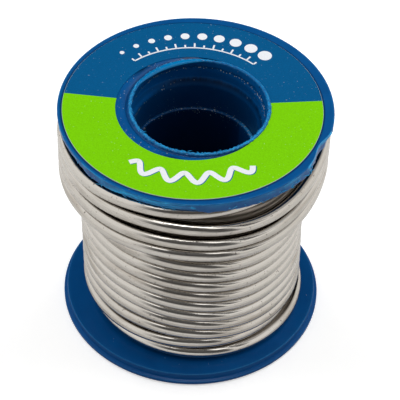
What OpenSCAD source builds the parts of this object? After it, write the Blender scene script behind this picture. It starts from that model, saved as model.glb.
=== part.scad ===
// Spool of solder wire: a plastic reel moulded in two halves, a round paper label, and one
// length of soft wire wound on the drum in layers. Millimetres, Z up, with the origin at the
// centre of the reel's underside and Z along the bore.

/* [Reel] */
// Outer diameter of both flanges
flange_d = 62; // [61.4:0.2:64]
// Height over the faces of the two flanges
reel_h = 59.8; // [59.6:0.1:60.2]
// Thickness of a flange
flange_t = 2.6; // [2.2:0.1:2.8]
// Thickness of a flange at the edge of its thin outer rim
rim_t = 0.8; // [0.6:0.1:1]
// Thickness of that rim where it meets the flange's wall
rim_root_t = 1.1; // [1:0.1:1.4]
// Width of the thin rim
rim_w = 0.9; // [0.7:0.1:1.2]
// Depth of the piece that is broken out of the upper rim
chip_depth = 0.8; // [0.2:0.1:1.2]
// Direction of that break, counted from +X
chip_angle = -24.5; // [-60:0.5:0]

/* [Hub] */
// Diameter of the drum that the wire is wound on
drum_d = 33.8; // [32.4:0.2:34.6]
// Diameter of the bore that a spindle runs in
bore_d = 26.7; // [25:0.1:27.4]
// Diameter of the wider mouth at each end of the bore
mouth_d = 30.3; // [29.4:0.1:30.5]
// Depth of each mouth, down to the narrower wall
mouth_depth = 5.3; // [4:0.1:6]
// Diameter of the joint, where the lower half's spigot stands in the upper half's sleeve
spigot_d = 28.4; // [28.2:0.1:29]
// Height at which the two halves meet under the wire
joint_z = 30; // [24:1:36]
// Height of the spigot's upper edge, seen inside the bore
spigot_top = 47; // [42:0.5:50]
// Height of the raised lip round the upper mouth
lip_h = 0.4; // [0.1:0.1:0.6]
// Width of that lip
lip_w = 0.9; // [0.6:0.1:0.9]

/* [Label] */
// Outer diameter of the paper label
label_d = 58.4; // [54:0.2:58.8]
// Diameter of the hole in the label
label_hole_d = 34.2; // [34.2:0.2:36]
// Thickness of the paper and its glue
label_t = 0.12; // [0.08:0.02:0.3]

/* [Wire] */
// Diameter of the solder wire
wire_d = 3.17; // [3:0.01:3.2]
// Diameter at which the wire is drawn, so that neighbouring turns stay apart
drawn_d = 2.4; // [2:0.1:2.4]
// Distance between neighbouring turns
pitch = 3.2; // [3.18:0.01:3.22]
// Number of turns in the full layer that shows
full_turns = 16; // [14:1:16]
// Radius of the wire's centre in the full layer
layer_r = 24.5; // [24.3:0.1:24.6]
// How far the full layer swells under the turns that are wound back over it
layer_swell = 0.6; // [0.4:0.1:0.8]
// Radius of the wire's centre in the turns that are wound back
top_r = 29.3; // [28.8:0.1:29.4]
// How far the whole winding leans to the left
lean = 0.3; // [0:0.1:0.4]
// Rise of the lowest turn, which stands beside the next one and not under it
first_rise = 2.2; // [2.1:0.05:2.3]
// How far the lowest turn stands out at the right
first_out = 0.9; // [0.8:0.1:1.2]
// How far it is drawn in at the left
first_in = 1.1; // [0.8:0.1:1.2]
// Heights of each wound-back turn at the right, the right front, the left front and the left
top_heights = [
    [55.2, 55.3, 55.3, 53.6],
    [54.2, 49.9, 51.3, 50.4],
    [51, 45.5, 46.7, 46.7],
    [46.8, 42.1, 43.2, 43.1]
];

/* [Hidden] */

reel_blue = [0.02, 0.27, 0.5];
label_green = [0.47, 0.8, 0.03];
solder_grey = [0.82, 0.8, 0.77];

round_steps = 120;
edge_r = 0.3;
flange_r = flange_d / 2;
drum_r = drum_d / 2;
bore_r = bore_d / 2;
mouth_r = mouth_d / 2;
spigot_r = spigot_d / 2;
wall_r = flange_r - rim_w;
wall_slope = 0.1;
mouth_slope = 0.9;
lip_r = mouth_r + lip_w;
moat_w = 0.5;
moat_depth = 0.3;
ledge_edge = 0.25;

label_shift = [-0.7, -0.3];
label_hole_shift = [-0.9, -0.4];

wire_r = wire_d / 2;
floor_z = flange_t;
roof_z = reel_h - flange_t;
first_z = floor_z + wire_r;

// Path angles count the way the wire runs, seen from above: 0 at the back, 90 at the right,
// 180 at the front and 270 at the left. Each turn of the full layer climbs one pitch across
// the front, a little earlier than the turn below it. The lowest turns start their climb
// where the turn below leaves room, and make part of it behind.
cross_start = 146.5;
cross_earlier = 2.5;
cross_width = 85;
low_cross_start = [146, 108, 126, 132];
low_front_share = [0.3, 0.55, 0.82, 1];
climb_angle = 360 * full_turns;
top_turns = len(top_heights);
tail_angle = 15;
end_angle = climb_angle + 360 * top_turns - tail_angle;

// Angles of the four heights that each wound-back turn has, and then the next turn's first
top_angles = [85, 150, 200, 240, 445];

// Angles between which the wire moves in or out, and heights between which the winding
// swells and leans
climb_behind = [235, 355];
draw_in = [110, 250];
come_back = [455, 545];
climb_up = [0, 85];
climb_out = [65, 215];
swell_z = [40, 50];
lean_z = [12, 30];
core_gap = 0.07;
step_r = 20.6;
step_z = first_z + 4;

rings_per_turn = 24;
ring_sides = 6;
ring_step = 360 / rings_per_turn;

// Shapes of the reel ---------------------------------------------------------------------

// Half section of a flange: from its outer face out to the thin rim, up the wall behind the
// rim to a sharp edge, and back to the drum
function flange_section() = [
    [flange_r - edge_r, 0],
    [flange_r, edge_r],
    [flange_r, rim_t],
    [wall_r + wall_slope, rim_root_t],
    [wall_r, flange_t],
    [drum_r, flange_t]
];

module lower_reel_half() {
    color(reel_blue)
        rotate_extrude($fn = round_steps)
            polygon(concat(
                [[mouth_r, 0]],
                flange_section(),
                [
                    [drum_r, joint_z],
                    [spigot_r, joint_z],
                    [spigot_r, spigot_top - ledge_edge],
                    [spigot_r - ledge_edge, spigot_top],
                    [bore_r + ledge_edge, spigot_top],
                    [bore_r, spigot_top - ledge_edge],
                    [bore_r, mouth_depth],
                    [mouth_r, mouth_depth - mouth_slope]
                ]
            ));
}

module upper_reel_half() {
    color(reel_blue)
        difference() {
            rotate_extrude($fn = round_steps)
                polygon(concat(
                    [
                        [mouth_r, reel_h + lip_h],
                        [lip_r, reel_h + lip_h],
                        [lip_r, reel_h - moat_depth],
                        [lip_r + moat_w, reel_h - moat_depth],
                        [lip_r + moat_w, reel_h]
                    ],
                    [for (p = flange_section()) [p[0], reel_h - p[1]]],
                    [
                        [drum_r, joint_z],
                        [spigot_r, joint_z],
                        [spigot_r, reel_h - mouth_depth],
                        [mouth_r, reel_h - mouth_depth + mouth_slope]
                    ]
                ));
            broken_rim();
        }
}

// Flat break across the edge of the upper flange
module broken_rim() {
    rotate([0, 0, chip_angle])
        translate([flange_r - chip_depth, -flange_r, reel_h - 2 * flange_t])
            cube([2 * chip_depth, flange_d, 3 * flange_t]);
}

module face_label() {
    color(label_green)
        translate([0, 0, reel_h])
            difference() {
                translate([label_shift[0], label_shift[1], 0])
                    cylinder(h = label_t, d = label_d, $fn = round_steps);
                translate([label_hole_shift[0], label_hole_shift[1], -1])
                    cylinder(h = label_t + 2, d = label_hole_d, $fn = round_steps);
            }
}

// The wire ---------------------------------------------------------------------------------

// Smooth step from 0 to 1 as x goes over a span, given as its two ends
function ease(x, span) =
    let (c = min(max((x - span[0]) / (span[1] - span[0]), 0), 1))
    c * c * (3 - 2 * c);
function turn_of(a) = floor(a / 360);
function in_turn(a) = a - 360 * turn_of(a);

// Radius of the full layer at a height
function full_r(z) = layer_r + layer_swell * ease(z, swell_z);

// Height at which a turn of the full layer starts
function turn_z(k) = k == 0 ? first_z : first_z + first_rise + pitch * (k - 1);

// Where a turn starts its climb across the front, and the part of it that is made there
function climb_start(k) =
    k < len(low_cross_start) ? low_cross_start[k] : cross_start - cross_earlier * k;
function climb_share(k) = k < len(low_front_share) ? low_front_share[k] : 1;

function full_z(a) =
    let (
        k = turn_of(a),
        c = in_turn(a),
        share = climb_share(k),
        front = ease(c, [climb_start(k), climb_start(k) + cross_width]),
        behind = ease(c, climb_behind)
    )
    turn_z(k) + (turn_z(k + 1) - turn_z(k)) * (share * front + (1 - share) * behind);

// The lowest turn stands out at the right, is drawn in at the left, and the turn that
// follows it comes back to the layer's radius at the right
function slack(a) =
    first_out - (first_out + first_in) * ease(a, draw_in) + first_in * ease(a, come_back);

// Heights of the wound-back turns, eased from one given height to the next. The last turn
// ends level behind.
function top_height(j, i) =
    i < len(top_heights[j]) ? top_heights[j][i]
    : j < top_turns - 1 ? top_heights[j + 1][0]
    : top_heights[top_turns - 1][3];

function top_z(b) =
    let (
        j = max(0, turn_of(b - top_angles[0])),
        c = b - 360 * j,
        i = max([for (n = [0 : len(top_angles) - 2]) if (n == 0 || c >= top_angles[n]) n]),
        u = ease(c, [top_angles[i], top_angles[i + 1]])
    )
    top_height(j, i) + (top_height(j, i + 1) - top_height(j, i)) * u;

// Point on the wire's centre line
function wire_point(a) =
    let (
        b = a - climb_angle,
        rise = ease(b, climb_up),
        z = b < 0 ? full_z(a) : turn_z(full_turns) * (1 - rise) + top_z(b) * rise,
        r = full_r(z) + (b < 0 ? slack(a) : (top_r - full_r(z)) * ease(b, climb_out))
    )
    [r * sin(a) - lean * ease(z, lean_z), r * cos(a), z];

function unit(v) = v / norm(v);
function wire_heading(a) = unit(wire_point(a + 1) - wire_point(max(a - 1, 0)));

// One ring of the tube, square to the wire
function ring(centre, heading) =
    let (
        side = unit(cross(heading, [0, 0, 1])),
        up = cross(side, heading)
    )
    [
        for (i = [0 : ring_sides - 1])
            centre + drawn_d / 2 * (cos(360 * i / ring_sides) * side + sin(360 * i / ring_sides) * up)
    ];

ring_angles = [for (a = [0 : ring_step : end_angle]) a];
centres = [for (a = ring_angles) wire_point(a)];
headings = [for (a = ring_angles) wire_heading(a)];
last = len(ring_angles) - 1;

// Each end runs straight for one diameter
rings = concat(
    [ring(centres[0] - drawn_d * headings[0], headings[0])],
    [for (i = [0 : last]) ring(centres[i], headings[i])],
    [ring(centres[last] + drawn_d * headings[last], headings[last])]
);

function tube_faces(n, m) = concat(
    [for (k = [1 : m - 2]) [0, k, k + 1]],
    [
        for (i = [0 : n - 2], k = [0 : m - 1], h = [0, 1])
            let (a = i * m + k, b = i * m + (k + 1) % m, c = a + m, d = b + m)
            h == 0 ? [a, c, b] : [b, c, d]
    ],
    [for (k = [1 : m - 2]) [(n - 1) * m, (n - 1) * m + k + 1, (n - 1) * m + k]]
);

// Least gap between turns, from the centres of rings that are half a turn apart or more
least_gap = min([
    for (i = [0 : last], j = [i + rings_per_turn / 2 : last])
        if (abs(centres[i][2] - centres[j][2]) < 2 * pitch) norm(centres[i] - centres[j])
]) - drawn_d;

module wound_wire() {
    echo(wire_least_gap_mm = least_gap, wire_turns = end_angle / 360);
    color(solder_grey)
        polyhedron(
            points = [for (r = rings, p = r) p],
            faces = tube_faces(len(rings), ring_sides),
            convexity = 12
        );
}

// The buried layers, as one plain ring round the drum. Its lower end is stepped in, where
// the outer layer starts.
module inner_turns() {
    color(solder_grey)
        rotate_extrude($fn = round_steps)
            polygon(concat(
                [[drum_r, floor_z], [step_r, floor_z], [step_r, step_z]],
                [
                    for (z = [step_z, swell_z[0], 42, 44, 46, 48, swell_z[1], roof_z])
                        [full_r(z) - wire_r - core_gap, z]
                ],
                [[drum_r, roof_z]]
            ));
}

lower_reel_half();
upper_reel_half();
face_label();
inner_turns();
wound_wire();
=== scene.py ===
import math

import bpy
import numpy as np
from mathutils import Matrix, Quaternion, Vector


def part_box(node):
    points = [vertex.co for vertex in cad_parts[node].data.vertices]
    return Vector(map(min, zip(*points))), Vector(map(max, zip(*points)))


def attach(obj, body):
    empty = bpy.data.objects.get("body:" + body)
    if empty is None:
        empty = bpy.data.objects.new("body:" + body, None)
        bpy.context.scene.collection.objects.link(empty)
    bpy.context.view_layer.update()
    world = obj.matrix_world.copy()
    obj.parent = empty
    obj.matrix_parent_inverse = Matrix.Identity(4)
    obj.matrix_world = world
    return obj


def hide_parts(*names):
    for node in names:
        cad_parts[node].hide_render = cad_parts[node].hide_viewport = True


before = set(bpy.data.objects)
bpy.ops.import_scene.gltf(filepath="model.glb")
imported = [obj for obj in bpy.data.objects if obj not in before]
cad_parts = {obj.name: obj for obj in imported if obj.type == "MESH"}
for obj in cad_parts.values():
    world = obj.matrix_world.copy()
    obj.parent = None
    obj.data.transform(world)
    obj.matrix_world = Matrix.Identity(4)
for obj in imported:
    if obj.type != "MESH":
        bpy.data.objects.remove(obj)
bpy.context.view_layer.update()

# --- Camera ---------------------------------------------------------------------------------
# A long lens looks down at about 45 degrees on the reel's front, turned a little about its own
# axis. The scene is in metres; the sizes of the pieces are in millimetres.
MM = 0.001
CAMERA_TARGET = Vector((0, 0, 27.9 * MM))
CAMERA_DISTANCE = 434 * MM
CAMERA_ELEVATION = math.radians(45.28)
CAMERA_TURN = math.radians(1.69)
CAMERA_LENS = 165.8
CAMERA_SHIFT = (0.0176, 0.0173)

camera = bpy.data.objects.new("camera", bpy.data.cameras.new("camera"))
bpy.context.scene.collection.objects.link(camera)
bpy.context.scene.camera = camera
towards_camera = Vector((0, -math.cos(CAMERA_ELEVATION), math.sin(CAMERA_ELEVATION)))
camera.location = CAMERA_TARGET + towards_camera * CAMERA_DISTANCE
camera.rotation_mode = "QUATERNION"
camera.rotation_quaternion = (-towards_camera).to_track_quat("-Z", "Y") @ Quaternion((0, 0, 1), CAMERA_TURN)
camera.data.lens = CAMERA_LENS
camera.data.sensor_width = 36
camera.data.shift_x, camera.data.shift_y = CAMERA_SHIFT
camera.data.clip_start = 0.01

# --- Lower half of the reel -----------------------------------------------------------------
# One moulding of blue polystyrene: the lower flange with its thin rim, the lower part of the
# drum, and the spigot that was pressed up into the upper half's sleeve.


def frame_box(node):
    """A node's lowest and highest corner, to 0.1 mm because the frame's round solids are
    faceted."""
    return [[round(place / MM, 1) for place in corner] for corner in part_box(node)]


lower_high = frame_box("lower_reel_half")[1]
upper_low, upper_high = frame_box("upper_reel_half")
label_low, label_high = frame_box("face_label")
FLANGE_R = lower_high[0]
FLANGE_T = 2.6
RIM_W = 0.9
RIM_T = 0.8
RIM_ROOT_T = 1.1
WALL_R = FLANGE_R - RIM_W
WALL_SLOPE = 0.1
EDGE_R = 0.15
ARRIS_R = 0.12
FILLET = 0.03
DRUM_R = 16.9
BORE_R = 13.35
MOUTH_R = 15.15
MOUTH_DEPTH = 5.3
MOUTH_SLOPE = 0.9
SPIGOT_R = 14.2
SPIGOT_TOP = lower_high[2]
JOINT_Z = upper_low[2]
REEL_H = label_low[2]
# The flange's face starts FACE_GAP outside the mouth. Its rows of points lie closer over
# SCRAPED_W by the rim, and rows BESIDE each corner keep the shading flat up to it.
FACE_GAP = 1.6
SCRAPED_W = 3.0
BESIDE = 0.1
AROUND = 360


def arc(cx, cz, radius, start, end, steps):
    """Points of an arc in a section, angles in degrees from +r towards +z."""
    return [
        (cx + radius * math.cos(math.radians(a)), cz + radius * math.sin(math.radians(a)))
        for a in np.linspace(start, end, steps)
    ]


def straight(a, b, steps):
    """Points from a to b, without b."""
    return [tuple(np.array(a) + (np.array(b) - np.array(a)) * i / steps) for i in range(steps)]


def flange_section():
    """Section of a flange from its outer face round the rim to the foot of the drum."""
    wall_foot = WALL_R + WALL_SLOPE
    return (
        straight((MOUTH_R + FACE_GAP, 0), (FLANGE_R - SCRAPED_W, 0), 12)
        + straight((FLANGE_R - SCRAPED_W, 0), (FLANGE_R - EDGE_R, 0), 16)
        + arc(FLANGE_R - EDGE_R, EDGE_R, EDGE_R, -90, 0, 5)
        + straight((FLANGE_R, EDGE_R + BESIDE), (FLANGE_R, RIM_T - 2 * BESIDE), 4)
        + arc(FLANGE_R - ARRIS_R, RIM_T - ARRIS_R, ARRIS_R, 0, 80, 4)
        + straight((FLANGE_R - 2 * BESIDE, RIM_T + FILLET), (wall_foot + ARRIS_R, RIM_ROOT_T - BESIDE / 2), 4)
        + [(wall_foot + FILLET, RIM_ROOT_T), (wall_foot, RIM_ROOT_T + BESIDE)]
        + straight((WALL_R + 0.9 * WALL_SLOPE, RIM_ROOT_T + 2.5 * BESIDE), (WALL_R, FLANGE_T - 2 * BESIDE), 4)
        + arc(WALL_R - ARRIS_R, FLANGE_T - ARRIS_R, ARRIS_R, 5, 85, 4)
        + straight((WALL_R - 2 * BESIDE, FLANGE_T), (DRUM_R + 4 * BESIDE, FLANGE_T), 16)
        + [(DRUM_R + BESIDE, FLANGE_T + BESIDE), (DRUM_R, FLANGE_T + 4 * BESIDE)]
    )


def new_piece(name, points, faces, materials):
    """A smooth mesh in millimetres that rides on the reel's one body."""
    mesh = bpy.data.meshes.new(name)
    mesh.from_pydata((np.asarray(points, float) * MM).tolist(), [], faces)
    for material in materials:
        mesh.materials.append(material)
    mesh.shade_smooth()
    mesh.update()
    piece = bpy.data.objects.new(name, mesh)
    bpy.context.scene.collection.objects.link(piece)
    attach(piece, "root")
    return piece


def grid_faces(rows, columns, loops=(True, True), flip=False):
    """Quads between rows of points. A direction that loops joins its last points to its first,
    and flip turns the faces over."""
    corners = ((0, 0), (0, 1), (1, 1), (1, 0)) if flip else ((0, 0), (1, 0), (1, 1), (0, 1))
    return [
        tuple((i + a) % rows * columns + (j + b) % columns for a, b in corners)
        for i in range(rows if loops[0] else rows - 1)
        for j in range(columns if loops[1] else columns - 1)
    ]


def sweep_round(section, around, change=None):
    """Sweeps a closed section once round the Z axis. change(angle, r, z) may move the points."""
    section = np.array(section)
    points = []
    for i in range(around):
        angle = 2 * math.pi * i / around
        r, z = section.T.copy()
        if change:
            r, z = change(angle, r, z)
        points += np.stack([r * math.cos(angle), r * math.sin(angle), z], 1).tolist()
    return points, grid_faces(around, len(section))


def linear(code):
    """An sRGB hex colour as linear RGBA."""
    channels = [int(code[i : i + 2], 16) / 255 for i in (1, 3, 5)]
    return [c / 12.92 if c <= 0.04045 else ((c + 0.055) / 1.055) ** 2.4 for c in channels] + [1.0]


def add_node(owner, kind, settings=None, links=None):
    """Adds one node to a material or the world. settings are its properties and input values,
    links its inputs' sources."""
    tree = owner.node_tree
    node = tree.nodes.new(kind)
    for key, value in (settings or {}).items():
        if isinstance(key, str) and hasattr(node, key):
            setattr(node, key, value)
        else:
            node.inputs[key].default_value = value
    for key, source in (links or {}).items():
        tree.links.new(source, node.inputs[key])
    return node


def new_material(name):
    """An empty material and its surface shader."""
    material = bpy.data.materials.new(name)
    material.use_nodes = True
    return material, material.node_tree.nodes["Principled BSDF"]


def blend(material, share, covered_matt_and_shade, over):
    """One colour laid over another by a share that a node gives. The colour under it may be a
    node's output as well."""
    settings, links = {"data_type": "RGBA", 7: over}, {0: share}
    if isinstance(covered_matt_and_shade, list):
        settings[6] = covered_matt_and_shade
    else:
        links[6] = covered_matt_and_shade
    return add_node(material, "ShaderNodeMix", settings, links).outputs[2]


def moulded_polystyrene(name, blue, worn_blue, roughness, shine):
    """Blue high-impact polystyrene. The moulding leaves a soft gloss, handling dulls it in
    patches, where edges are scuffed, and where a painted highlight runs along an edge, the
    plastic goes pale and rough, where shade is painted it goes dark, and where dust clings it
    shows as pale specks, drawn about 0.2 mm across so that they show."""
    material, shader = new_material(name)
    place = add_node(material, "ShaderNodeTexCoord").outputs["Object"]
    worn, dusty, grimy = (
        add_node(material, "ShaderNodeAttribute", {"attribute_name": wear}).outputs["Fac"]
        for wear in ("worn", "dusty", "grimy")
    )
    # Noise scales are grains to the millimetre. Scrapes break up along a fine grit.
    grit = add_node(
        material, "ShaderNodeTexNoise", {"Scale": 2.4 / MM, "Detail": 4, "Roughness": 0.65}, {"Vector": place}
    )
    scrape = add_node(
        material, "ShaderNodeMath", {"operation": "MULTIPLY_ADD", 1: 1.3, 2: -0.42}, {0: grit.outputs["Fac"]}
    )
    share = add_node(
        material, "ShaderNodeMath", {"operation": "ADD", "use_clamp": True}, {0: worn, 1: scrape.outputs[0]}
    )
    scraped_and_highlit = add_node(
        material,
        "ShaderNodeMath",
        {"operation": "MULTIPLY", "use_clamp": True},
        {0: share.outputs[0], 1: worn},
    )
    # Dust shows as the crumbs of a fine noise, more of them where the plastic is dusty.
    crumbs = add_node(
        material, "ShaderNodeTexNoise", {"Scale": 2.6 / MM, "Detail": 1, "Roughness": 0.4}, {"Vector": place}
    )
    settled = add_node(
        material,
        "ShaderNodeMath",
        {"operation": "MULTIPLY_ADD", 1: 0.24},
        {0: dusty, 2: crumbs.outputs["Fac"]},
    )
    specks = add_node(
        material,
        "ShaderNodeMapRange",
        {"From Min": 0.8, "From Max": 0.85, "To Min": 0.0, "To Max": 0.95},
        {"Value": settled.outputs[0]},
    )
    # The colours lie one over the other: two tones of the pigment, scrapes and painted highlights, painted
    # shade, and dust.
    cloud = add_node(material, "ShaderNodeTexNoise", {"Scale": 0.2 / MM, "Detail": 3}, {"Vector": place})
    colour = blend(material, cloud.outputs["Fac"], linear(blue[0]), linear(blue[1]))
    for code, cover in ((worn_blue, scraped_and_highlit.outputs[0]), ("#00152e", grimy), ("#a8adae", specks.outputs[0])):
        colour = blend(material, cover, colour, linear(code))
    gloss = add_node(
        material,
        "ShaderNodeMapRange",
        {"From Min": 0.0, "From Max": 1.0, "To Min": roughness, "To Max": roughness + 0.3},
        {"Value": scraped_and_highlit.outputs[0]},
    )
    bump = add_node(
        material, "ShaderNodeBump", {"Strength": 0.25, "Distance": 0.05 * MM}, {"Height": grit.outputs["Fac"]}
    )
    tree = material.node_tree
    tree.links.new(colour, shader.inputs["Base Color"])
    tree.links.new(gloss.outputs["Result"], shader.inputs["Roughness"])
    tree.links.new(bump.outputs["Normal"], shader.inputs["Normal"])
    shader.inputs["IOR"].default_value = 1.55
    shader.inputs["Specular IOR Level"].default_value = shine
    return material


def round_the_axis(points):
    """Each point's distance from the axis, its height, and its direction in degrees."""
    x, y, z = np.array(points).T
    return np.hypot(x, y), z, np.degrees(np.arctan2(y, x))


def near(values, centre, width):
    """1 at the centre, falling to 0 a width away from it."""
    return np.clip(1 - np.abs(np.asarray(values) - centre) / width, 0, 1)


def add_wear_and_painted_light(piece, **wear):
    """Adds to each point's wear and painted highlight, dust, and painted shade, up to 1, for the plastic's
    material.
    """
    for name, values in wear.items():
        attribute = piece.data.attributes.get(name) or piece.data.attributes.new(name, "FLOAT", "POINT")
        so_far = np.zeros(len(values), np.float32)
        attribute.data.foreach_get("value", so_far)
        attribute.data.foreach_set("value", np.clip(so_far + values, 0, 1).astype(np.float32))


# One plastic in two copies: the lower half's is painted darker and less shiny, as shaded, and the upper
# half's lighter and shinier, as lit.
shaded_copy_blue = moulded_polystyrene("polystyrene painted as shaded", ("#003e76", "#004b88"), "#2f86bb", 0.3, 0.08)

lower_section = (
    [(MOUTH_R, 2 * BESIDE), (MOUTH_R + 2 * BESIDE, 0)]
    + flange_section()
    + straight((DRUM_R, FLANGE_T + 1), (DRUM_R, JOINT_Z), 8)
    + [(DRUM_R, JOINT_Z), (SPIGOT_R, JOINT_Z)]
    + straight((SPIGOT_R, JOINT_Z + 5 * BESIDE), (SPIGOT_R, SPIGOT_TOP - 3 * BESIDE), 6)
    + [(SPIGOT_R - BESIDE / 2, SPIGOT_TOP - BESIDE), (SPIGOT_R - EDGE_R, SPIGOT_TOP)]
    + [(BORE_R + 0.25, SPIGOT_TOP), (BORE_R + 0.08, SPIGOT_TOP - BESIDE), (BORE_R, SPIGOT_TOP - 3 * BESIDE)]
    + straight((BORE_R, SPIGOT_TOP - 1), (BORE_R, MOUTH_DEPTH), 16)
    + [(BORE_R, MOUTH_DEPTH), (MOUTH_R, MOUTH_DEPTH - MOUTH_SLOPE)]
    + straight((MOUTH_R, MOUTH_DEPTH - MOUTH_SLOPE - 3 * BESIDE), (MOUTH_R, 3 * BESIDE), 4)
)
points, faces = sweep_round(lower_section, AROUND)
lower_half = new_piece("lower_half", points, faces, [shaded_copy_blue])
reach, height, side = round_the_axis(points)
on_spigot = reach < SPIGOT_R
# Painted highlights run along the rim's edge, the spigot's end and the flange's arris, pale
# like scrapes, the spigot's brightest at the right. Dust lies on the spigot's end, and painted
# shade darkens the bore, least at the right.
add_wear_and_painted_light(
    lower_half,
    worn=0.35 * near(reach, FLANGE_R - 0.05, 0.25) * near(height, RIM_T, 0.2)
    + (0.2 + 0.8 * near(side, 20, 35)) * near(height, SPIGOT_TOP, 0.4) * on_spigot
    + 0.6 * near(reach, WALL_R, 0.25) * near(height, FLANGE_T, 0.3),
    dusty=0.7 * near(height, SPIGOT_TOP, 2.5) * on_spigot,
    grimy=0.5 * (reach < BORE_R + 0.05) * (1 - near(side, 10, 45)) + 0.3 * on_spigot * (side > 40),
)
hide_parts("lower_reel_half")

# --- Upper half of the reel -----------------------------------------------------------------
# The other blue moulding: the labelled flange, the upper part of the drum, and the sleeve
# pressed down over the spigot. The mouth's lip is torn and bent to the right, and rough use has
# broken a flat piece out of the rim and drawn its lower edge down.
LIP_H = round(upper_high[2] - REEL_H, 1)
LIP_W = 0.9
LIP_R = MOUTH_R + LIP_W
MOAT_W = 0.5
MOAT_DEPTH = 0.3
# The lip is moved to the right by LIP_SHIFT. The shift fades out down to LIP_BEND below the
# flange's face, and over the last BENT_W out to a radius of BENT_R.
LIP_SHIFT = 0.85
LIP_BEND = 2.5
BENT_R = 19.5
BENT_W = 2.85
# Directions are in degrees from the right towards the back. The lip tore least round the first
# number in SMOOTH_LIP, as far as the second to either side. NOTCH and RIM_DRAWN_DOWN give a
# direction, a half width in degrees, and a depth.
SMOOTH_LIP = (45, 70)
CHIP_SIDE = -24.5
CHIP_DEPTH = 0.8
NOTCH = (-23, 9, 0.7)
RIM_DRAWN_DOWN = [(229, 16, 1.1), (302, 36, 1.5)]
DRAWN_FADE = 10
# Lines of dust and dirt run round the mouth's wall, and lie lower to the left of the back.
BACK = 80
DUST_LINE = 1.7
LINE_DROP = 1.6
SCRAPE_ROWS, SCRAPE_CELLS = 16, 100

dice = np.random.default_rng(7)
rough_values = dice.uniform(-1, 1, 720)


def ease(x, span):
    """Smooth step from 0 to 1 as x goes over a span."""
    c = min(max((x - span[0]) / (span[1] - span[0]), 0), 1)
    return c * c * (3 - 2 * c)


def ripple(angle, cells, rough):
    """Repeating smooth noise round the axis, from a list of random values per cell."""
    at = (angle / (2 * math.pi) * cells) % cells
    low = int(at)
    mix = ease(at, (low, low + 1))
    return rough[low] * (1 - mix) + rough[(low + 1) % cells] * mix


def away(side, centre):
    """How far a direction lies from another round the axis, in degrees."""
    return np.abs((side - centre + 180) % 360 - 180)


def bent(z):
    """Share of the lip's shift that the plastic takes at a height, from 0 up to 1."""
    return np.clip((z - REEL_H + LIP_BEND) / LIP_BEND, 0, 1)


def break_reach(side):
    """How far out the plastic goes where the rim is broken: a flat with a notch in it."""
    centre, width, depth = NOTCH
    flat = (FLANGE_R - CHIP_DEPTH) / max(math.cos(math.radians(side - CHIP_SIDE)), 0.5)
    return flat - depth * ease(width - away(side, centre), (0, width))


def upper_shape(angle, r, z):
    """Breaks the rim at the chip, roughens the rim's lower edge and tears the lip, in 240 to
    360 cells round the ring: about 0.6 mm long on the rim and 0.3 mm on the lip."""
    side = math.degrees(angle)
    limit = break_reach(side)
    broken = r > FLANGE_R - 2 * CHIP_DEPTH
    if limit < FLANGE_R + 0.2:
        jagged = 0.04 * ripple(angle, 360, rough_values) * (z[broken] < REEL_H - 0.4)
        r[broken] = np.minimum(r[broken], limit + jagged)
    rim_edge = (r > FLANGE_R - 0.5) & (z < REEL_H - RIM_T + 0.5)
    for centre, width, depth in RIM_DRAWN_DOWN:
        z[rim_edge] -= depth * ease(width - away(side, centre), (0, DRAWN_FADE))
    burr = 0.5 + 0.5 * ripple(angle, 300, rough_values[::-1])
    z[rim_edge] -= 0.22 * burr * burr
    r[rim_edge] += 0.06 * ripple(angle, 240, rough_values)
    lip = (r < LIP_R + 0.1) & (z > REEL_H + 0.1)
    r += LIP_SHIFT * math.cos(angle) * bent(z) * np.clip((BENT_R - r) / BENT_W, 0, 1)
    torn = 1 - 0.75 * max(0, 1 - away(side, SMOOTH_LIP[0]) / SMOOTH_LIP[1])
    z[lip] += 0.16 * torn * ripple(angle, 320, rough_values)
    r[lip] += 0.14 * torn * ripple(angle, 260, rough_values[::-1])
    return r, z


slope_top = REEL_H - MOUTH_DEPTH + MOUTH_SLOPE
upper_section = (
    [(MOUTH_R, REEL_H - 0.3), (MOUTH_R, REEL_H + 0.15), (MOUTH_R + 0.12, REEL_H + LIP_H - 0.06)]
    + [(MOUTH_R + 0.35, REEL_H + LIP_H), (LIP_R - 0.35, REEL_H + LIP_H - 0.02)]
    + [(LIP_R - 0.08, REEL_H + 0.2), (LIP_R, REEL_H)]
    + [(LIP_R, REEL_H - MOAT_DEPTH), (LIP_R + MOAT_W, REEL_H - MOAT_DEPTH)]
    + [(r, REEL_H - z) for r, z in flange_section()]
    + straight((DRUM_R, REEL_H - FLANGE_T - 1), (DRUM_R, JOINT_Z), 2)
    + [(DRUM_R, JOINT_Z), (SPIGOT_R, JOINT_Z)]
    + straight((SPIGOT_R, JOINT_Z + 5 * BESIDE), (SPIGOT_R, SPIGOT_TOP), 2)
    + straight((SPIGOT_R, SPIGOT_TOP), (SPIGOT_R, REEL_H - MOUTH_DEPTH - 1), 22)
    + straight((SPIGOT_R, REEL_H - MOUTH_DEPTH - 1), (MOUTH_R - BESIDE, slope_top), 6)
    + [(MOUTH_R - BESIDE, slope_top)]
    + straight((MOUTH_R, slope_top + 2 * BESIDE), (MOUTH_R, REEL_H - 0.3), 20)
)
points, faces = sweep_round(upper_section, 2 * AROUND, upper_shape)
# The upper half's copy of the plastic is painted lighter and shinier, as lit.
lit_copy_blue = moulded_polystyrene("polystyrene painted as lit", ("#00457f", "#005594"), "#1ba6e2", 0.3, 0.2)
upper_half = new_piece("upper_half", points, faces, [lit_copy_blue])
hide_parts("upper_reel_half")

upper_points = np.array(points)
reach, height, side = round_the_axis(points)
lip_reach = reach - LIP_SHIFT * np.cos(np.radians(side)) * bent(height)


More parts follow.
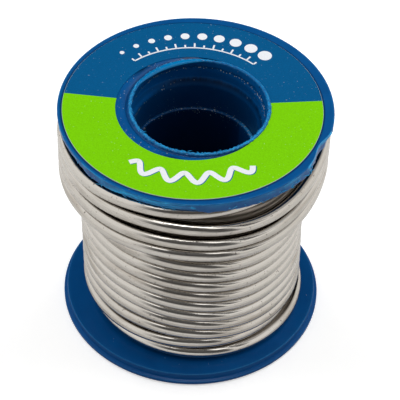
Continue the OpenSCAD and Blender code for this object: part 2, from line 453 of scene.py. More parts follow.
def streaks(rows, least):
    """Random scrapes that run round the axis, one set for each row, from least to 1."""
    rows = rows.astype(int) % SCRAPE_ROWS
    cells = dice.uniform(least, 1, (SCRAPE_ROWS, SCRAPE_CELLS))
    at = (side + 180) / 360 * SCRAPE_CELLS
    low = at.astype(int)
    here, next_one = cells[rows, low % SCRAPE_CELLS], cells[rows, (low + 1) % SCRAPE_CELLS]
    return np.maximum(here + (next_one - here) * (at - low), 0)


# Scrapes run round the torn lip and the rim's edge, and reach further down the rim at the left
# front. On the smooth lip at the back right the pale scrapes also paint a highlight. The break
# is pale, and the arris of the face carries a painted highlight.
torn_and_highlight_share = 1 - 0.35 * np.clip(1 - away(side, SMOOTH_LIP[0]) / SMOOTH_LIP[1], 0, 1)
rim_share = 1 - 0.6 * np.clip(1 - away(side, 288) / 30, 0, 1)
left_front = np.clip(2 - away(side, 250) / 12, 0, 1)
on_break = near([break_reach(a) for a in side], reach, 0.12) * (away(side, CHIP_SIDE) < 12)
on_rim = 1.0 * (height < REEL_H)
lip_scrapes = near(lip_reach, MOUTH_R + LIP_W / 2, 0.8) * (height > REEL_H + 0.1)
lip_scrapes *= torn_and_highlight_share * streaks((lip_reach - MOUTH_R) / 0.12, 0.3)
rim_scrapes = 1.4 * near(height, REEL_H - RIM_T, 1.2) * (reach > FLANGE_R - 0.35) * on_rim
rim_scrapes *= rim_share * streaks((REEL_H - height) / 0.2, -0.5)
add_wear_and_painted_light(
    upper_half,
    worn=lip_scrapes
    + rim_scrapes
    + 0.8 * near(height, REEL_H - 1.5, 1.7) * (reach > WALL_R - 0.1) * on_rim * left_front
    + 0.7 * on_break * (height > REEL_H - 1)
    + 0.25 * near(reach, FLANGE_R - 0.2, 0.35) * (height > REEL_H - 0.5),
)

# In the mouth a line of dust lies near the top and a line of dirt along the slope, both uneven.
# Dust also lies on the wall at the right, by the spigot, and on the face at the left. Painted
# shade darkens the wall below the dirt line, the slope, the dust line's top and the lip's foot.
in_mouth = lip_reach < MOUTH_R + 0.1
left_of_back = side > BACK
uneven = 0.25 * np.array([ripple(math.radians(a), 300, rough_values) for a in side])
drop = LINE_DROP * left_of_back
dust_height = REEL_H - DUST_LINE - drop * np.clip((away(side, BACK) - 45) / 30, 0, 1) + uneven
dirt_height = REEL_H - MOUTH_DEPTH - drop * np.clip((away(side, BACK) - 30) / 30, 0, 1) + uneven
add_wear_and_painted_light(
    upper_half,
    dusty=in_mouth
    * (
        0.15
        + 0.95 * near(height, dust_height, 0.5) * (away(side, 90) < 95)
        + 0.8 * near(height, dirt_height, 0.6) * (away(side, 145) < 45)
        + 0.55 * near(height, REEL_H - 3, 2.5) * near(side, 10, 30)
        + 0.3 * near(height, SPIGOT_TOP + 0.5, 1.5)
    )
    + 0.6 * near(reach, 17, 1.3) * (height > REEL_H - 0.4) * (away(side, 190) < 70),
    grimy=in_mouth
    * (
        0.55 * np.clip((dirt_height + 1 - height) / 0.8, 0, 1)
        + 0.4 * near(height, slope_top - MOUTH_SLOPE / 2, MOUTH_SLOPE) * (reach < MOUTH_R - 0.05)
        + 0.6 * near(height, dust_height + 0.35, 0.4)
    )
    + 0.7 * near(lip_reach, LIP_R + 0.3, 0.35) * (np.abs(height - REEL_H + 0.2) < 0.3),
)

# Where the lip tore, its plastic is pale with strain: a smooth tongue folded inwards at the
# back left, and slivers that stand up round the mouth and hang from the rim's lower edge.
TONGUE_SPAN = (86, 158)
TONGUE_STEPS = 40
TONGUE_ROOT = 0.5
TONGUE_W = 1.3
TONGUE_T = 0.22
TONGUE_DROP = 0.25
SLIVER_W = 0.18

strained_blue = moulded_polystyrene("strained polystyrene", ("#0c88c8", "#3fb2ea"), "#7fd0fa", 0.4, 0.2)
tongue_blue = moulded_polystyrene("folded polystyrene", ("#0068a4", "#0080bc"), "#4ab4ee", 0.25, 0.2)

points = []
for i in range(TONGUE_STEPS + 1):
    share = i / TONGUE_STEPS
    angle = math.radians(TONGUE_SPAN[0] + (TONGUE_SPAN[1] - TONGUE_SPAN[0]) * share)
    # Widest near its middle, and blunt at both ends.
    width = TONGUE_W * math.sin(math.pi * (0.1 + 0.85 * share)) ** 0.7
    outer, inner = MOUTH_R + TONGUE_ROOT, MOUTH_R + TONGUE_ROOT - width
    top = REEL_H + LIP_H + 0.12
    low = top - TONGUE_DROP
    for r, z in ((outer, top), (inner, low), (inner + 0.1, low - TONGUE_T), (outer, top - TONGUE_T)):
        points.append((LIP_SHIFT + r * math.cos(angle), r * math.sin(angle), z))
faces = grid_faces(TONGUE_STEPS + 1, 4, (False, True), flip=True)
faces += [(3, 2, 1, 0), tuple(4 * TONGUE_STEPS + k for k in range(4))]
tongue = new_piece("lip_tongue", points, faces, [tongue_blue])


def sliver(foot, along, rise, length):
    """Points and faces of one curled sliver of plastic that tapers from its foot to its tip."""
    along, across = np.array([*along, 0.0]), np.array([-along[1], along[0], 0.0])
    points = []
    for share, scale in ((0, 1), (0.35, 0.9), (0.7, 0.6), (1, 0.08)):
        middle = np.array(foot) + along * length * share + np.array([0, 0, rise * share * share])
        half = across * SLIVER_W * scale / 2
        points += [middle + half, middle - half, middle + np.array([0, 0, SLIVER_W * scale * 0.7])]
    return points, grid_faces(4, 3, (False, True)) + [(0, 1, 2), (11, 10, 9)]


def slivers(name, count, shift, span, radii, heights, rises, lengths):
    """Many slivers on a ring moved to the right by shift, each lying roughly along the ring.
    The rest are ranges: directions in degrees, radii, and heights from the flange's face."""
    points, faces = [], []
    for i in range(count):
        angle = math.radians(dice.uniform(*span))
        radius = dice.uniform(*radii)
        lie = angle + math.pi / 2 * dice.choice([-1, 1]) + dice.uniform(-0.6, 0.6)
        foot = (shift + radius * math.cos(angle), radius * math.sin(angle), REEL_H + dice.uniform(*heights))
        along = (math.cos(lie), math.sin(lie))
        more, sides = sliver(foot, along, dice.uniform(*rises), dice.uniform(*lengths))
        faces += [tuple(len(points) + k for k in face) for face in sides]
        points += more
    piece = new_piece(name, points, faces, [strained_blue])


lip_radii = (MOUTH_R, MOUTH_R + 0.75)
left_radii = (FLANGE_R - 0.3, FLANGE_R)
right_radii = (FLANGE_R - 0.12, FLANGE_R + 0.02)
slivers("lip_slivers", 110, LIP_SHIFT, (100, 385), lip_radii, (0.25, 0.35), (0.0, 0.3), (0.3, 1.2))
slivers("rim_slivers_left", 26, 0, (208, 262), left_radii, (-2, -0.9), (-0.3, 0.1), (0.5, 1.8))
slivers("rim_slivers_right", 60, 0, (284, 326), right_radii, (-2.4, -1.4), (-0.3, 0.3), (0.4, 1.6))

# --- Label ----------------------------------------------------------------------------------
# A ring of coated paper, die-cut and glued to the upper flange a little off centre. It is
# printed blue round the back and green round the front, and its outer cut edge is bare.
LABEL_R = (label_high[0] - label_low[0]) / 2
LABEL_HOLE_R = 17.1
LABEL_T = 0.12
LABEL_CENTRE = [(low + high) / 2 for low, high in zip(label_low[:2], label_high[:2])]
LABEL_HOLE_CENTRE = (-0.9, -0.4)
LABEL_AROUND = 240
PRINTED_RINGS = 8
PRINT_OFF = 0.05
PRINT_BLUE = "#005486"
PRINT_GREEN = "#78ca00"
GREEN_FROM_BACK = math.radians(84)


def printed_paper():
    """Coated paper printed in flat colours: satin, with a faint screen in the ink and small
    rubbed specks where the paper shows through."""
    material, shader = new_material("printed coated paper")
    place = add_node(material, "ShaderNodeTexCoord").outputs["Object"]
    parts = add_node(material, "ShaderNodeSeparateXYZ", {}, {0: place})
    turn = add_node(
        material, "ShaderNodeMath", {"operation": "ARCTAN2"}, {0: parts.outputs["X"], 1: parts.outputs["Y"]}
    )
    off_back = add_node(material, "ShaderNodeMath", {"operation": "ABSOLUTE"}, {0: turn.outputs[0]})
    green = add_node(
        material,
        "ShaderNodeMath",
        {"operation": "GREATER_THAN", 1: GREEN_FROM_BACK},
        {0: off_back.outputs[0]},
    )
    inks = blend(material, green.outputs[0], linear(PRINT_BLUE), linear(PRINT_GREEN))
    grain = add_node(
        material, "ShaderNodeTexNoise", {"Scale": 3.5 / MM, "Detail": 1, "Roughness": 0.4}, {"Vector": place}
    )
    tint = add_node(
        material,
        "ShaderNodeMapRange",
        {"From Min": 0.3, "From Max": 0.7, "To Min": 0.93, "To Max": 1.07},
        {"Value": grain.outputs["Fac"]},
    )
    screened = add_node(
        material,
        "ShaderNodeVectorMath",
        {"operation": "SCALE"},
        {0: inks, "Scale": tint.outputs[0]},
    )
    specks = add_node(material, "ShaderNodeTexNoise", {"Scale": 2.2 / MM, "Detail": 2}, {"Vector": place})
    rubbed = add_node(
        material,
        "ShaderNodeMapRange",
        {"From Min": 0.7, "From Max": 0.78, "To Min": 0.0, "To Max": 0.35},
        {"Value": specks.outputs["Fac"]},
    )
    colour = blend(material, rubbed.outputs["Result"], screened.outputs[0], linear("#f0f4ea"))
    bump = add_node(
        material,
        "ShaderNodeBump",
        {"Strength": 0.1, "Distance": 0.02 * MM},
        {"Height": specks.outputs["Fac"]},
    )
    tree = material.node_tree
    tree.links.new(colour, shader.inputs["Base Color"])
    tree.links.new(bump.outputs["Normal"], shader.inputs["Normal"])
    shader.inputs["Roughness"].default_value = 0.42
    shader.inputs["Specular IOR Level"].default_value = 0.08
    return material


def bare_paper():
    """The paper's cut edge: uncoated and matt, greyed by handling, with pale fibres."""
    material, shader = new_material("cut paper edge")
    place = add_node(material, "ShaderNodeTexCoord").outputs["Object"]
    fibre = add_node(material, "ShaderNodeTexNoise", {"Scale": 5 / MM}, {"Vector": place})
    colour = blend(material, fibre.outputs["Fac"], linear("#98a29a"), linear("#c9cdc4"))
    material.node_tree.links.new(colour, shader.inputs["Base Color"])
    shader.inputs["Roughness"].default_value = 0.8
    return material


# Rings of points: over the printed face from the hole outwards, over its unprinted margin, down
# the outer edge, and back under the paper to the hole.
label_centre, hole_centre = np.array(LABEL_CENTRE), np.array(LABEL_HOLE_CENTRE)
label_top, label_foot = REEL_H + LABEL_T, REEL_H + 0.01
rings = []
for share in np.arange(PRINTED_RINGS) / PRINTED_RINGS:
    centre = hole_centre * (1 - share) + label_centre * share
    rings.append((centre, LABEL_HOLE_R * (1 - share) + LABEL_R * share, label_top))
rings += [
    (label_centre + (0, PRINT_OFF), LABEL_R - PRINT_OFF, label_top),
    (label_centre, LABEL_R, label_top),
    (label_centre, LABEL_R, label_foot),
    (hole_centre, LABEL_HOLE_R, label_foot),
]
MARGIN, OUTER_EDGE = PRINTED_RINGS, PRINTED_RINGS + 1
points = []
for i in range(LABEL_AROUND):
    angle = 2 * math.pi * i / LABEL_AROUND
    for centre, radius, z in rings:
        points.append((centre[0] + radius * math.cos(angle), centre[1] + radius * math.sin(angle), z))
faces = grid_faces(LABEL_AROUND, len(rings))
label = new_piece("label", points, faces, [printed_paper(), bare_paper()])
for face in label.data.polygons:
    face.material_index = 1 if face.index % len(rings) in (MARGIN, OUTER_EDGE) else 0
    face.use_smooth = False
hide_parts("face_label")

# A painted shadow lies along the label's two edges on the plastic beside it.
off_label = np.linalg.norm(upper_points[:, :2] - label_centre, axis=1)
off_hole = np.linalg.norm(upper_points[:, :2] - hole_centre, axis=1)
painted_edge_shadow = 0.75 * near(off_label, LABEL_R + 0.2, 0.3) + 0.9 * near(off_hole, LABEL_HOLE_R - 0.15, 0.3)
add_wear_and_painted_light(upper_half, grimy=painted_edge_shadow * (np.abs(upper_points[:, 2] - REEL_H) < 0.1))

# The ink of the label's design: on the blue a row of dots that grow like wire gauges over a
# ticked scale, and on the green a white wave with a thin blue edge, like wire off the reel.
INK_T = 0.012
DOT_COUNT = 10
DOTS_R = 24.4
# The first dot's direction and radius, and the step from each dot to the next.
DOT_TURNS = (-43, 9.4)
DOT_SIZES = (0.55, 0.12)
SCALE_R = 20.3
SCALE_HALF = 42
SCALE_LINE_W = 0.35
TICK_STEP = 6
TICK_TOPS = (21.3, 21.9)
TICK_W = 0.4
WAVE_R = 22.7
WAVE_H = 1.45
WAVE_HALF = 36
WAVE_RATE = 25
WAVE_W = 1.3
WAVE_EDGE = (0.2, -0.12)


def on_label(turn, radius):
    """A point on the label from its direction, counted from the back towards the right."""
    angle = math.radians(turn)
    return label_centre + radius * np.array([math.sin(angle), math.cos(angle)])


def ink(outlines, level, material, name):
    """Thin printed shapes, each the outline of a polygon, as one piece on top of the paper."""
    points, faces = [], []
    top = label_top + level * INK_T
    for outline in outlines:
        first, count = len(points), len(outline)
        points += [(*p, top) for p in outline] + [(*p, top - INK_T) for p in outline]
        faces.append(tuple(range(first, first + count)))
        faces.append(tuple(range(first + 2 * count - 1, first + count - 1, -1)))
        for i in range(count):
            j = (i + 1) % count
            faces.append((first + i, first + count + i, first + count + j, first + j))
    piece = new_piece(name, points, faces, [material])
    for face in piece.data.polygons:
        face.use_smooth = False


def stroke(path, width):
    """Outlines of the short pieces that make up a line of even width."""
    path = np.array(path)
    along = np.gradient(path, axis=0)
    along /= np.linalg.norm(along, axis=1)[:, None]
    side = np.stack([-along[:, 1], along[:, 0]], 1) * width / 2
    return [
        [path[i] - side[i], path[i + 1] - side[i + 1], path[i + 1] + side[i + 1], path[i] + side[i]]
        for i in range(len(path) - 1)
    ]


def printed_ink(name, code):
    """One flat printing ink: satin, with a faint mottle where it has sunk into the paper."""
    material, shader = new_material(name)
    place = add_node(material, "ShaderNodeTexCoord").outputs["Object"]
    mottle = add_node(material, "ShaderNodeTexNoise", {"Scale": 2.5 / MM, "Detail": 2}, {"Vector": place})
    sunk = [c * 0.86 for c in linear(code)[:3]] + [1.0]
    colour = blend(material, mottle.outputs["Fac"], linear(code), sunk)
    material.node_tree.links.new(colour, shader.inputs["Base Color"])
    shader.inputs["Roughness"].default_value = 0.45
    shader.inputs["Specular IOR Level"].default_value = 0.08
    return material


white_ink = printed_ink("white printing ink", "#eef1f6")
blue_ink = printed_ink("blue printing ink", "#1f66a0")

corners = [np.array([math.cos(a), math.sin(a)]) for a in np.linspace(0, 2 * math.pi, 33)[:-1]]
gauge_dots = []
for i in range(DOT_COUNT):
    middle = on_label(DOT_TURNS[0] + DOT_TURNS[1] * i, DOTS_R)
    size = DOT_SIZES[0] + DOT_SIZES[1] * i
    gauge_dots.append([middle + size * corner for corner in corners])

scale_path = [on_label(a, SCALE_R) for a in np.arange(-SCALE_HALF, SCALE_HALF + 0.1, 2)]
scale_marks = stroke(scale_path, SCALE_LINE_W)
for i, turn in enumerate(range(-SCALE_HALF, SCALE_HALF + 1, TICK_STEP)):
    scale_marks += stroke([on_label(turn, SCALE_R + 0.1), on_label(turn, TICK_TOPS[i % 2])], TICK_W)

wave = [
    on_label(180 - a, WAVE_R + WAVE_H * math.sin(math.radians(a * WAVE_RATE)))
    for a in np.arange(-WAVE_HALF, WAVE_HALF + 0.1, 0.5)
]
wave_edge = [p + WAVE_EDGE for p in wave]
ink(gauge_dots + scale_marks, 1, white_ink, "print_on_blue")
ink(stroke(wave_edge, WAVE_W), 1, blue_ink, "wave_edge")
ink(stroke(wave, WAVE_W), 2, white_ink, "wave_print")

# --- Solder wire ----------------------------------------------------------------------------
# One length of soft tin-lead wire, drawn round and wound under light tension: two layers that
# are buried, a full layer that climbs the drum, and a few turns wound back over it.
WIRE_D = 3.17
WIRE_R = WIRE_D / 2
PITCH = 3.2
FIRST_Z = FLANGE_T + WIRE_R
FULL_TURNS = 16
LAYER_R = 24.5
TOP_R = 29.3
RINGS_PER_TURN = 96
RING_SIDES = 20
# Angles on the wire run on from turn to turn, in degrees from the back towards the right. The
# lowest turn climbs less than a pitch. It stands out at the right and is drawn in at the left.
FIRST_RISE = 2.2
FIRST_OUT = 0.9
FIRST_IN = 1.1
DRAW_IN = (110, 250)
COME_BACK = (455, 545)
# Each turn climbs one pitch across the front, a little earlier than the turn below it. The
# lowest turns start at their own angles and climb partly at the back.
CROSS_START = 146.5
CROSS_EARLIER = 2.5
CROSS_WIDTH = 85
LOW_CROSS_START = [146, 108, 126, 132]
LOW_FRONT_SHARE = [0.3, 0.55, 0.82, 1]
CLIMB_BEHIND = (235, 355)
# The layer swells over these heights, and the whole winding leans to the left.
LAYER_SWELL = 0.6
SWELL_Z = (40, 50)
LEAN = 0.3
LEAN_Z = (12, 30)
# Heights of each turn wound back, at the first four of these angles; the next turn's first
# height is reached at the fifth.
TOP_ANGLES = [85, 150, 200, 240, 445]
TOP_HEIGHTS = [
    [55.2, 55.3, 55.3, 53.6],
    [54.2, 49.9, 51.3, 50.4],
    [51, 45.5, 46.7, 46.7],
    [46.8, 42.1, 43.2, 43.1],
]
CLIMB_UP = (0, 85)
CLIMB_OUT = (65, 215)
TAIL_ANGLE = 15


def full_r(z):
    """Radius of the full layer's wire at a height."""
    return LAYER_R + LAYER_SWELL * ease(z, SWELL_Z)


def turn_z(k):
    """Height at which the full layer's turn number k starts, at the back."""
    return FIRST_Z if k == 0 else FIRST_Z + FIRST_RISE + PITCH * (k - 1)


def full_z(a):
    """Height of the full layer's wire: each turn climbs across the front."""
    k, c = divmod(a, 360)
    k = int(k)
    start = LOW_CROSS_START[k] if k < len(LOW_CROSS_START) else CROSS_START - CROSS_EARLIER * k
    share = LOW_FRONT_SHARE[k] if k < len(LOW_FRONT_SHARE) else 1
    climb = share * ease(c, (start, start + CROSS_WIDTH)) + (1 - share) * ease(c, CLIMB_BEHIND)
    return turn_z(k) + (turn_z(k + 1) - turn_z(k)) * climb


def slack(a):
    """How far the lowest turn stands out, or is drawn in where this is less than 0."""
    return FIRST_OUT - (FIRST_OUT + FIRST_IN) * ease(a, DRAW_IN) + FIRST_IN * ease(a, COME_BACK)


def top_z(b):
    """Height of the turns wound back, eased from one height to the next."""
    j = max(0, int((b - TOP_ANGLES[0]) // 360))
    c = b - 360 * j
    i = max([n for n in range(4) if n == 0 or c >= TOP_ANGLES[n]])
    heights = TOP_HEIGHTS[j] + [TOP_HEIGHTS[j + 1][0] if j + 1 < len(TOP_HEIGHTS) else TOP_HEIGHTS[j][3]]
    return heights[i] + (heights[i + 1] - heights[i]) * ease(c, (TOP_ANGLES[i], TOP_ANGLES[i + 1]))


def wire_point(a):
    """The wire's centre at an angle: in the full layer, and then in the turns wound back."""
    b = a - 360 * FULL_TURNS
    if b < 0:
        z = full_z(a)
        r = full_r(z) + slack(a)
    else:
        rise = ease(b, CLIMB_UP)
        z = turn_z(FULL_TURNS) * (1 - rise) + top_z(b) * rise
        r = full_r(z) + (TOP_R - full_r(z)) * ease(b, CLIMB_OUT)
    turn = math.radians(a)
    return np.array([r * math.sin(turn) - LEAN * ease(z, LEAN_Z), r * math.cos(turn), z])


def tube(path, radius, sides):
    """A closed round tube along a path, with slightly rounded ends. It also gives each point's
    place on the wire: its length along it, and its place in the round section, in mm."""
    path = np.array(path)
    length = np.concatenate([[0], np.cumsum(np.linalg.norm(np.diff(path, axis=0), axis=1))])
    heading = np.gradient(path, axis=0)
    heading /= np.linalg.norm(heading, axis=1)[:, None]
    across = np.cross(heading, [0, 0, 1])
    across /= np.linalg.norm(across, axis=1)[:, None]
    up = np.cross(across, heading)
    last = len(path) - 1
    rows = [(0, -0.35, 0.7), (0, -0.1, 0.95)] + [(i, 0, 1) for i in range(last + 1)]
    rows += [(last, 0.1, 0.95), (last, 0.35, 0.7)]
    angles = 2 * math.pi * np.arange(sides) / sides
    points, lay = [], []
    for i, ahead, scale in rows:
        spokes = np.cos(angles)[:, None] * across[i] + np.sin(angles)[:, None] * up[i]
        points += (path[i] + heading[i] * ahead * radius + radius * scale * spokes).tolist()
        lay += [(length[i], radius * math.cos(a), radius * math.sin(a)) for a in angles]
    faces = grid_faces(len(rows), sides, (False, True), flip=True)
    faces.append(tuple(range(sides))[::-1])
    faces.append(tuple(range((len(rows) - 1) * sides, len(rows) * sides)))
    return points, faces, lay


def new_wire(name, path, sides, material):
    """A piece of round wire that keeps, for its material, each point's place on the wire."""
    points, faces, lay = tube(path, WIRE_R, sides)
    piece = new_piece(name, points, faces, [material])
    attribute = piece.data.attributes.new("lay", "FLOAT_VECTOR", "POINT")
    attribute.data.foreach_set("vector", np.array(lay, np.float32).ravel())
    return piece


def drawn_solder(name, covered=(0, 0)):
    """Soft tin-lead wire. The drawing die leaves it bright with fine lengthwise lines, drawn
    here about 1 mm wide so that they show; air and handling dull it to a warm grey in
    patches, with small dark pits and smears. Painted shade with old flux darkens it where
    turns touch, and a painted shade greys it where other turns cover it, between the two
    lengths in covered."""
    material, shader = new_material(name)
    place = add_node(material, "ShaderNodeTexCoord").outputs["Object"]
    lay = add_node(material, "ShaderNodeAttribute", {"attribute_name": "lay"}).outputs["Vector"]
    spot = add_node(material, "ShaderNodeSeparateXYZ", {}, {0: lay})
    length, level = spot.outputs["X"], spot.outputs["Z"]
    # Along and across the wire the lines are about 70 by 1.2 mm, and the smears 17 by 3 mm.
    drawn_out = []
    for grains, detail in (((0.014, 0.8, 0.8), 3), ((0.06, 0.3, 0.3), 4)):
        scaled = add_node(material, "ShaderNodeVectorMath", {"operation": "MULTIPLY", 1: grains}, {0: lay})
        settings = {"Scale": 1.0, "Detail": detail, "Roughness": 0.6}
        drawn_out.append(add_node(material, "ShaderNodeTexNoise", settings, {"Vector": scaled.outputs[0]}))
    lines, smear = drawn_out
    pits = add_node(
        material, "ShaderNodeTexNoise", {"Scale": 1.3 / MM, "Detail": 2, "Roughness": 0.7}, {"Vector": place}
    )
    off_middle = add_node(material, "ShaderNodeMath", {"operation": "ABSOLUTE"}, {0: level})
    after = add_node(material, "ShaderNodeMath", {"operation": "GREATER_THAN", 1: covered[0]}, {0: length})
    before = add_node(material, "ShaderNodeMath", {"operation": "LESS_THAN", 1: covered[1]}, {0: length})
    # The covered stretch gets a painted shade of grey and a duller gloss.
    covered_matt_and_shade = add_node(
        material, "ShaderNodeMath", {"operation": "MULTIPLY"}, {0: after.outputs[0], 1: before.outputs[0]}
    )
    # The colours lie one over the other: the drawn lines, smears, pits, painted shade with old
    # flux where turns touch, and the painted shade of the covered stretch.
    colour = blend(material, lines.outputs["Fac"], linear("#b8b1a7"), linear("#dad6cf"))
    for code, source, least, most, cover in (
        ("#94897b", smear.outputs["Fac"], 0.52, 0.72, 0.6),
        ("#5a514a", pits.outputs["Fac"], 0.65, 0.72, 0.7),
        ("#3e342c", off_middle.outputs[0], 0.84 * WIRE_R, 0.97 * WIRE_R, 0.75),
        ("#a89f94", covered_matt_and_shade.outputs[0], 0.0, 1.0, 1.0),
    ):
        settings = {"From Min": least, "From Max": most, "To Min": 0.0, "To Max": cover}
        share = add_node(material, "ShaderNodeMapRange", settings, {"Value": source})
        colour = blend(material, share.outputs[0], colour, linear(code))
    gloss = add_node(
        material,
        "ShaderNodeMapRange",
        {"From Min": 0.35, "From Max": 0.7, "To Min": 0.1, "To Max": 0.16},
        {"Value": smear.outputs["Fac"]},
    )
    matt = add_node(
        material,
        "ShaderNodeMath",
        {"operation": "MULTIPLY_ADD", 1: 0.3},
        {0: covered_matt_and_shade.outputs[0], 2: gloss.outputs["Result"]},
    )
    bump = add_node(
        material,
        "ShaderNodeBump",
        {"Strength": 0.008, "Distance": 0.05 * MM},
        {"Height": lines.outputs["Fac"]},
    )
    tree = material.node_tree
    tree.links.new(colour, shader.inputs["Base Color"])
    tree.links.new(matt.outputs[0], shader.inputs["Roughness"])
    tree.links.new(bump.outputs["Normal"], shader.inputs["Normal"])
    shader.inputs["Metallic"].default_value = 1
    return material


# The full layer's last turns, which the turns wound back cover.
TURN_LENGTH = 2 * math.pi * LAYER_R
COVERED_TURNS = (12.9, 16.3)
solder = drawn_solder("drawn tin-lead solder", [turns * TURN_LENGTH for turns in COVERED_TURNS])

end_angle = 360 * (FULL_TURNS + len(TOP_HEIGHTS)) - TAIL_ANGLE
path = [wire_point(a) for a in np.arange(0, end_angle + 0.01, 360 / RINGS_PER_TURN)]
first_step, last_step = path[0] - path[1], path[-1] - path[-2]
path.insert(0, path[0] + first_step / np.linalg.norm(first_step) * WIRE_D)
path.append(path[-1] + last_step / np.linalg.norm(last_step) * WIRE_D)
wire = new_wire("wound_solder", path, RING_SIDES, solder)
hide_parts("wound_wire")

# The buried layers, seen only in the gaps between the outer turns: the same wire, wound up the
# drum and down again.
BURIED_R = [18.5, 21.4]
BURIED_TURNS = 16.0
BURIED_TOP = 55.2
BURIED_RINGS_PER_TURN = 48
BURIED_SIDES = 10

path = []
for layer, radius in enumerate(BURIED_R):
    for a in np.arange(0, 360 * BURIED_TURNS, 360 / BURIED_RINGS_PER_TURN):
        share = a / (360 * BURIED_TURNS)
        z = FIRST_Z + PITCH * BURIED_TURNS * (share if layer == 0 else 1 - share)
        turn = math.radians(a)
        path.append(np.array([radius * math.sin(turn), radius * math.cos(turn), min(z, BURIED_TOP)]))
buried = new_wire("buried_solder", path, BURIED_SIDES, drawn_solder("buried tin-lead solder"))
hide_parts("inner_turns")

# --- Floor, light and background ------------------------------------------------------------
# A plain white floor in a white studio, with a soft lamp at each side. What the bright wire
# shows is set by cards that only reflections see: grey ones at the front, as the studio's
# unlit side, and pale ones above them for its windows and its ceiling light.
FLOOR_HALF = 1500
FLOOR_DROP = 0.2
FLOOR_GLOW = 0.4
WORLD_LIGHT = 0.36


def studio_white():
    """Matt white paper that the camera sees as white, with the object's soft shadow on it."""
    material, shader = new_material("white studio floor")
    tree = material.node_tree
    shader.inputs["Base Color"].default_value = (0.85, 0.85, 0.85, 1)
    shader.inputs["Roughness"].default_value = 0.9
    shader.inputs["Specular IOR Level"].default_value = 0.1
    rays = add_node(material, "ShaderNodeLightPath")
    share = add_node(
        material,
        "ShaderNodeMath",
        {"operation": "MULTIPLY", 1: FLOOR_GLOW},
        {0: rays.outputs["Is Camera Ray"]},
    )
    glow = add_node(material, "ShaderNodeEmission", {"Color": (1, 1, 1, 1)}, {"Strength": share.outputs[0]})
    both = add_node(material, "ShaderNodeAddShader", {}, {0: shader.outputs[0], 1: glow.outputs[0]})
    tree.links.new(both.outputs[0], tree.nodes["Material Output"].inputs["Surface"])
    return material


floor_mesh = bpy.data.meshes.new("floor")
half = FLOOR_HALF * MM
floor_corners = [(-half, -half, 0), (half, -half, 0), (half, half, 0), (-half, half, 0)]
floor_mesh.from_pydata(floor_corners, [], [(0, 1, 2, 3)])
floor_mesh.materials.append(studio_white())
floor = bpy.data.objects.new("floor", floor_mesh)
bpy.context.scene.collection.objects.link(floor)
floor.location.z = -FLOOR_DROP * MM

# The world is white to the eye, in gloss and through glass, and lights the reel more softly.
world = bpy.data.worlds.new("studio")
bpy.context.scene.world = world
world.use_nodes = True
rays = add_node(world, "ShaderNodeLightPath")
seen = rays.outputs["Is Camera Ray"]
for kind in ("Is Glossy Ray", "Is Transmission Ray"):
    either = add_node(world, "ShaderNodeMath", {"operation": "MAXIMUM"}, {0: seen, 1: rays.outputs[kind]})
    seen = either.outputs[0]
strength = add_node(world, "ShaderNodeMapRange", {"To Min": WORLD_LIGHT, "To Max": 1.0}, {"Value": seen})
background = world.node_tree.nodes["Background"]
background.inputs["Color"].default_value = (1, 1, 1, 1)
world.node_tree.links.new(strength.outputs["Result"], background.inputs["Strength"])


def direction(azimuth, elevation):
    """A direction out from the reel, in degrees: azimuth 0 is the front, and 90 the right."""
    a, e = math.radians(azimuth), math.radians(elevation)
    return Vector((math.sin(a) * math.cos(e), -math.cos(a) * math.cos(e), math.sin(e)))


def softbox(name, azimuth, elevation, distance, size, power):
    """A square area lamp that faces the middle of the reel."""
    lamp = bpy.data.lights.new(name, "AREA")
    lamp.size = size * MM
    lamp.energy = power
    lamp_object = bpy.data.objects.new(name, lamp)
    bpy.context.scene.collection.objects.link(lamp_object)
    out = direction(azimuth, elevation)
    lamp_object.location = out * distance * MM + Vector((0, 0, JOINT_Z * MM))
    lamp_object.rotation_mode = "QUATERNION"
    lamp_object.rotation_quaternion = out.to_track_quat("Z", "Y")
    lamp_object.visible_glossy = False


softbox("left softbox", -118, 42, 900, 900, 5.6)
softbox("right softbox", 118, 42, 900, 900, 5.6)

# The cards lie on spheres round the reel, the first at CARD_R and each CARD_STEP inside the one
# before it, and no lower than CARD_LIFT over the floor.
CARD_R = 600
CARD_STEP = 2
CARD_LIFT = 0.5
CARD_GRID = (41, 25)


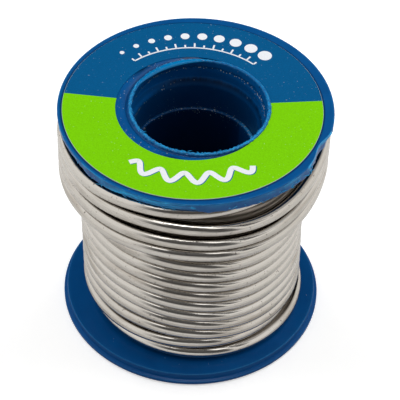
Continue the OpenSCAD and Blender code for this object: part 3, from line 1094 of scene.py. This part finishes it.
def card(name, azimuths, elevations, distance, glow, soft=(0, 0, 0, 0)):
    """A piece of a sphere round the reel that only reflections see, with an even grey glow. It
    fades out towards its left, right, lower and upper edge over the angles in soft, and what
    would be under the floor lies on it."""
    centre = Vector((0, 0, CAMERA_TARGET.z))
    points, fades = [], []
    for azimuth in np.linspace(*azimuths, CARD_GRID[0]):
        for elevation in np.linspace(*elevations, CARD_GRID[1]):
            out = direction(azimuth, elevation)
            to_floor = (centre.z - CARD_LIFT * MM) / max(-out.z, 1e-6)
            points.append(centre + out * min(distance * MM, to_floor))
            inside = (
                azimuth - azimuths[0],
                azimuths[1] - azimuth,
                elevation - elevations[0],
                elevations[1] - elevation,
            )
            fades.append(math.prod(ease(depth, (0, width)) for depth, width in zip(inside, soft) if width))
    mesh = bpy.data.meshes.new(name)
    mesh.from_pydata(points, [], grid_faces(*CARD_GRID, (False, False)))
    mesh.attributes.new("fade", "FLOAT", "POINT").data.foreach_set("value", fades)
    material, unused = new_material(name)
    tree = material.node_tree
    tree.nodes.remove(unused)
    fade = add_node(material, "ShaderNodeAttribute", {"attribute_name": "fade"})
    clear = add_node(material, "ShaderNodeBsdfTransparent")
    lit = add_node(material, "ShaderNodeEmission", {"Color": (0.98, 0.98, 1, 1), "Strength": glow})
    both = add_node(
        material, "ShaderNodeMixShader", {}, {0: fade.outputs["Fac"], 1: clear.outputs[0], 2: lit.outputs[0]}
    )
    tree.links.new(both.outputs[0], tree.nodes["Material Output"].inputs["Surface"])
    mesh.materials.append(material)
    card_object = bpy.data.objects.new(name, mesh)
    bpy.context.scene.collection.objects.link(card_object)
    card_object.visible_camera = False
    card_object.visible_diffuse = False
    card_object.visible_shadow = False


# Name, azimuths, elevations, glow and soft edges of each card at the front, the outermost first.
FRONT_CARDS = [
    ("front_card", (-50, 37), (0, 50), 0.1, (30, 4, 16, 4)),
    ("front_card_top", (-22, 28), (44, 70), 0.16, (12, 3, 6, 2)),
    ("left_window", (-44, -14), (48, 76), 1.7, (8, 8, 6, 2)),
    ("bright_window", (25, 44), (44, 76), 1.9, (4, 3, 6, 2)),
    ("window_post", (42, 58), (20, 72), 0.06, (2, 8, 8, 2)),
    ("upper_shade", (56, 110), (42, 68), 0.45, (3, 50, 6, 2)),
    ("low_column", (4, 37), (-12, 18), 0.12, (20, 3, 12, 8)),
    ("low_shade", (-40, 80), (-46, -14), 0.6, (60, 50, 1, 16)),
    ("top_light", (-64, 84), (69, 84), 10, (12, 12, 2, 6)),
]
for number, (name, azimuths, elevations, glow, soft) in enumerate(FRONT_CARDS):
    card(name, azimuths, elevations, CARD_R - CARD_STEP * number, glow, soft)
card("back_card", (130, 230), (12, 78), CARD_R, 0.0)

bpy.context.scene.view_settings.view_transform = "Standard"
